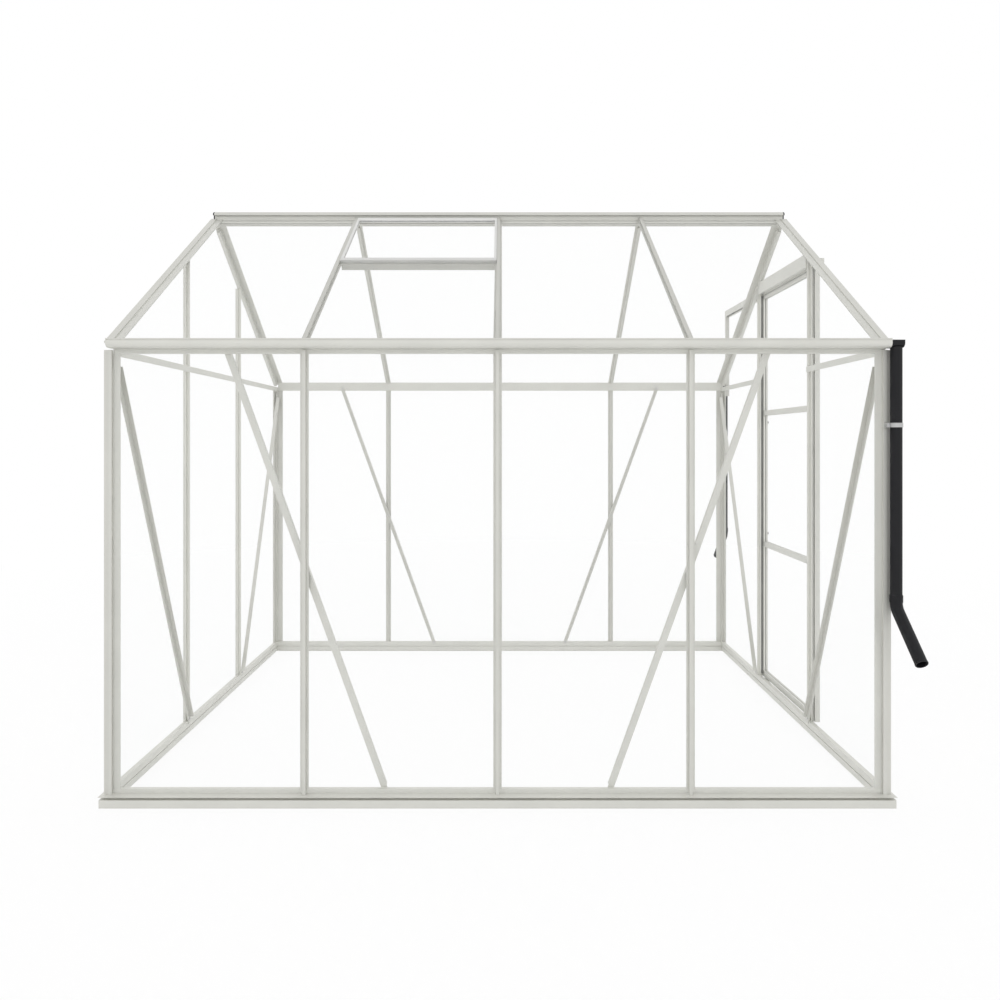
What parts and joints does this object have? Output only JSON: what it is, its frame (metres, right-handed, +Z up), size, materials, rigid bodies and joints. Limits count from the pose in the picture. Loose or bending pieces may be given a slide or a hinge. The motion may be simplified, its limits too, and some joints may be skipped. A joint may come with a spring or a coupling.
{
  "type": "greenhouse",
  "caption": "Apex greenhouse with a light metal frame, clear panes, a sliding gable door, an opening roof vent and rainwater gutters with black downpipes.",
  "frame": {"origin": "on the ground under the middle of the plan, where the ridge line crosses the middle wall bar line", "axes": "+Z up, +X along the ridge towards the door gable, +Y from the front wall with the roof vent to the rear wall"},
  "size_m": [2.573, 2.2834, 2.1822],
  "materials": {
    "frame_metal": "mill satin, warm light grey",
    "vent_metal": "mill satin, neutral light grey",
    "clear_glass": "clear, polished",
    "black_plastic": "satin black moulding",
    "clip_steel": "zinc plated",
    "bolt_steel": "zinc plated",
    "dark_rubber": "matt black",
    "roller_plastic": "natural nylon"
  },
  "bodies": {
    "frame": {"base_rail_front": "frame_metal", "base_rail_rear": "frame_metal", "base_rail_left": "frame_metal", "base_rail_right": "frame_metal", "corner_post_front_left": "frame_metal", "corner_post_front_right": "frame_metal", "corner_post_rear_left": "frame_metal", "corner_post_rear_right": "frame_metal", "wall_bars_front": "frame_metal", "wall_bars_rear": "frame_metal", "gable_bar_front": "frame_metal", "gable_bar_rear": "frame_metal", "door_post_front": "frame_metal", "door_post_rear": "frame_metal", "eave_gutter_front": "frame_metal", "eave_gutter_rear": "frame_metal", "gutter_end_caps": "frame_metal", "ridge_bar": "frame_metal", "roof_bars_front": "frame_metal", "roof_bars_rear": "frame_metal", "end_rafter_front_left": "frame_metal", "end_rafter_front_right": "frame_metal", "end_rafter_rear_left": "frame_metal", "end_rafter_rear_right": "frame_metal", "gable_ties": "frame_metal", "wall_braces": "frame_metal", "gable_braces": "frame_metal", "vent_lintel": "frame_metal", "door_header": "frame_metal", "door_track": "frame_metal", "door_track_caps": "frame_metal", "door_track_strut": "frame_metal", "door_guide": "frame_metal", "wall_panes": "clear_glass", "gable_panes": "clear_glass", "roof_panes": "clear_glass", "gutter_outlets": "black_plastic", "downpipes": "black_plastic", "downpipe_shoes": "black_plastic", "ridge_end_caps": "black_plastic", "downpipe_clips": "clip_steel", "brace_bolts": "bolt_steel", "vent_hinge_rod": "bolt_steel", "door_seals": "dark_rubber", "door_stops": "dark_rubber"},
    "door": {"door_stile_front": "frame_metal", "door_stile_rear": "frame_metal", "door_bottom_rail": "frame_metal", "door_mid_rails": "frame_metal", "door_top_rail": "frame_metal", "door_panes": "clear_glass", "door_buffers": "dark_rubber", "door_hangers": "bolt_steel"},
    "door_roller_front": {"door_roller_front": "roller_plastic"},
    "door_roller_rear": {"door_roller_rear": "roller_plastic"},
    "vent": {"vent_hinge_rail": "vent_metal", "vent_bottom_rail": "vent_metal", "vent_side_rails": "vent_metal", "vent_pane": "clear_glass"},
    "vent_stay": {"vent_stay": "vent_metal"}
  },
  "joints": [
    {"name": "door_slide", "type": "slide", "parent": "frame", "child": "door", "axis": [0, 1, 0], "range_m": [0, 0.59]},
    {"name": "door_roller_front_spin", "type": "hinge", "parent": "door", "child": "door_roller_front", "pos_m": [1.2865, -0.245, 1.88416], "axis": [-1, 0, 0], "continuous": true},
    {"name": "door_roller_rear_spin", "type": "hinge", "parent": "door", "child": "door_roller_rear", "pos_m": [1.2865, 0.245, 1.88416], "axis": [-1, 0, 0], "continuous": true},
    {"name": "vent_hinge", "type": "hinge", "parent": "frame", "child": "vent", "pos_m": [-0.311, -0.02361, 2.14695], "axis": [-1, 0, 0], "range_deg": [0, 45]},
    {"name": "vent_stay_pivot", "type": "hinge", "parent": "vent", "child": "vent_stay", "pos_m": [-0.188, -0.37586, 1.87918], "axis": [0, -0.8192, -0.5736], "range_deg": [0, 90]}
  ],
  "couplings": [
    {"joint": "door_roller_front_spin", "follows": "door_slide", "rad_per_m": 90.909},
    {"joint": "door_roller_rear_spin", "follows": "door_slide", "rad_per_m": 90.909}
  ]
}
